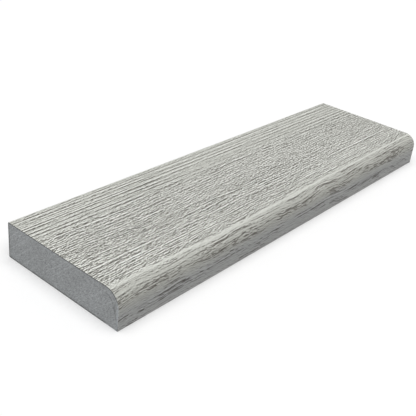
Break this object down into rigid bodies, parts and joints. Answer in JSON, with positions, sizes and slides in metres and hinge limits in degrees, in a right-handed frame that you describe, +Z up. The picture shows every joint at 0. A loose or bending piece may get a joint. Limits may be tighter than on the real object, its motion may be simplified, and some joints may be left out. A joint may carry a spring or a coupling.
{
  "type": "bullnose trim board",
  "caption": "Flat moulded composite trim board with a quarter-round nosing along one long edge, used to finish the open edge of a deck, a step or a kerb.",
  "frame": {"origin": "middle of the underside, on the surface the board lies on", "axes": "+X along the length, -Y towards the rounded nosing, +Y towards the square back edge, +Z up"},
  "size_m": [0.45, 0.125, 0.032],
  "materials": {
    "composite": "matt grey mineral-filled resin with an oak grain embossed in the top, nosing and front face; sawn ends plain"
  },
  "bodies": {
    "root": {"bullnose_board": "composite"}
  },
  "joints": []
}
